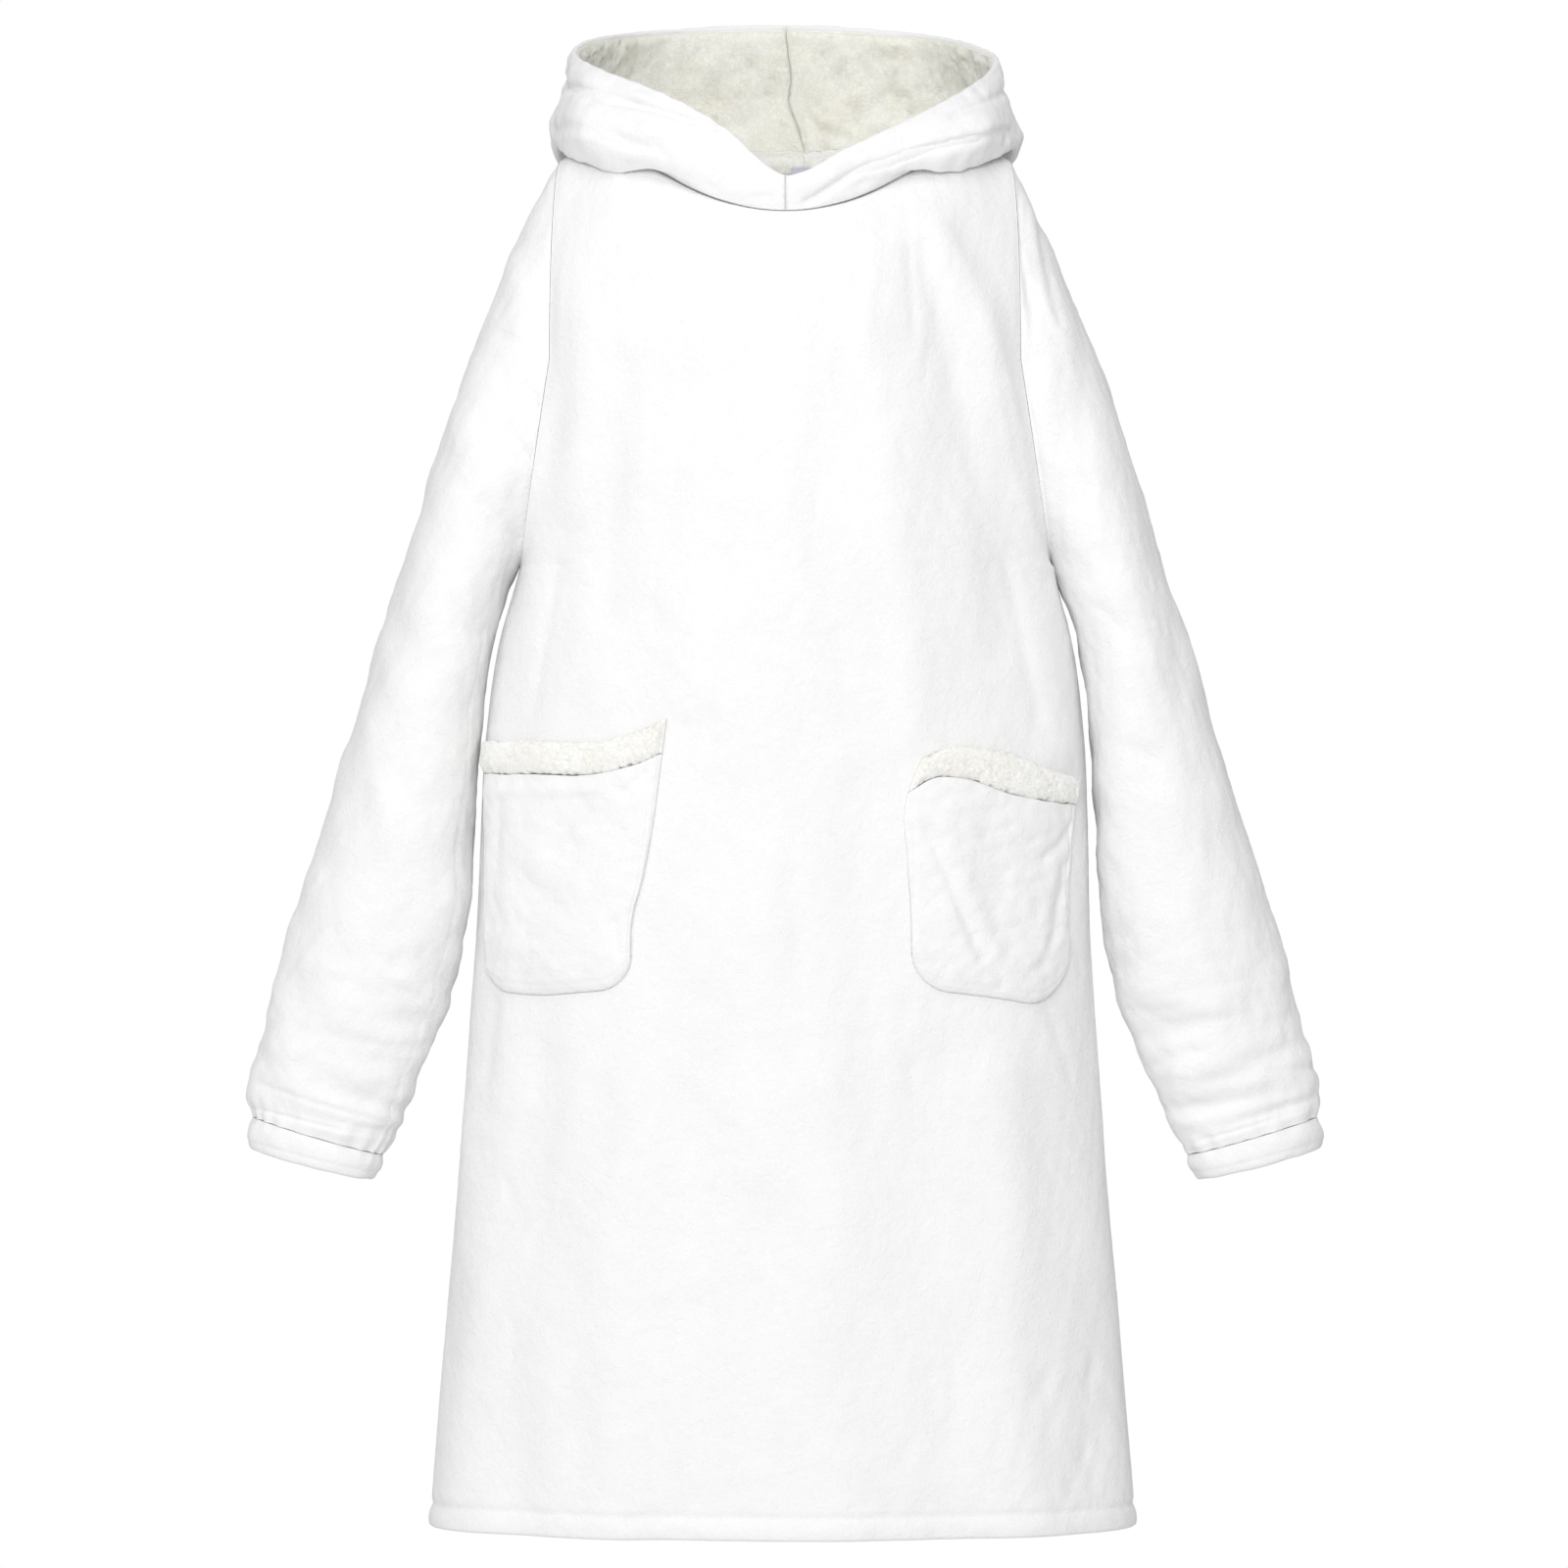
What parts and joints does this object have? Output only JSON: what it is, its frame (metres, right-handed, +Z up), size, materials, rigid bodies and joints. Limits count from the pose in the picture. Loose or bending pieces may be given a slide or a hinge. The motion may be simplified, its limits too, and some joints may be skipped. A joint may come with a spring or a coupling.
{
  "type": "wearable blanket hoodie",
  "caption": "Long loose fleece garment with wide sleeves, narrow cuffs, patch pockets with fluffy trim and an open sherpa-lined hood, in its worn hollow form.",
  "frame": {"origin": "between the shoulders, where the wearer holds the garment up", "axes": "+Z up, -Y the garment's front, +X the wearer's left"},
  "size_m": [0.8442, 0.3489, 1.203],
  "materials": {
    "flannel": "soft short-pile flannel fleece",
    "sherpa": "curly sherpa pile",
    "label": "smooth woven tape"
  },
  "bodies": {
    "root": {"body_front": "flannel", "body_back": "flannel", "sleeve_left": "flannel", "sleeve_right": "flannel", "cuff_left": "flannel", "cuff_right": "flannel", "hood_left": "flannel", "hood_right": "flannel", "hood_lining_left": "sherpa", "hood_lining_right": "sherpa", "pocket_left": "flannel", "pocket_right": "flannel", "pocket_trim_left": "sherpa", "pocket_trim_right": "sherpa", "neck_label": "label"}
  },
  "joints": []
}
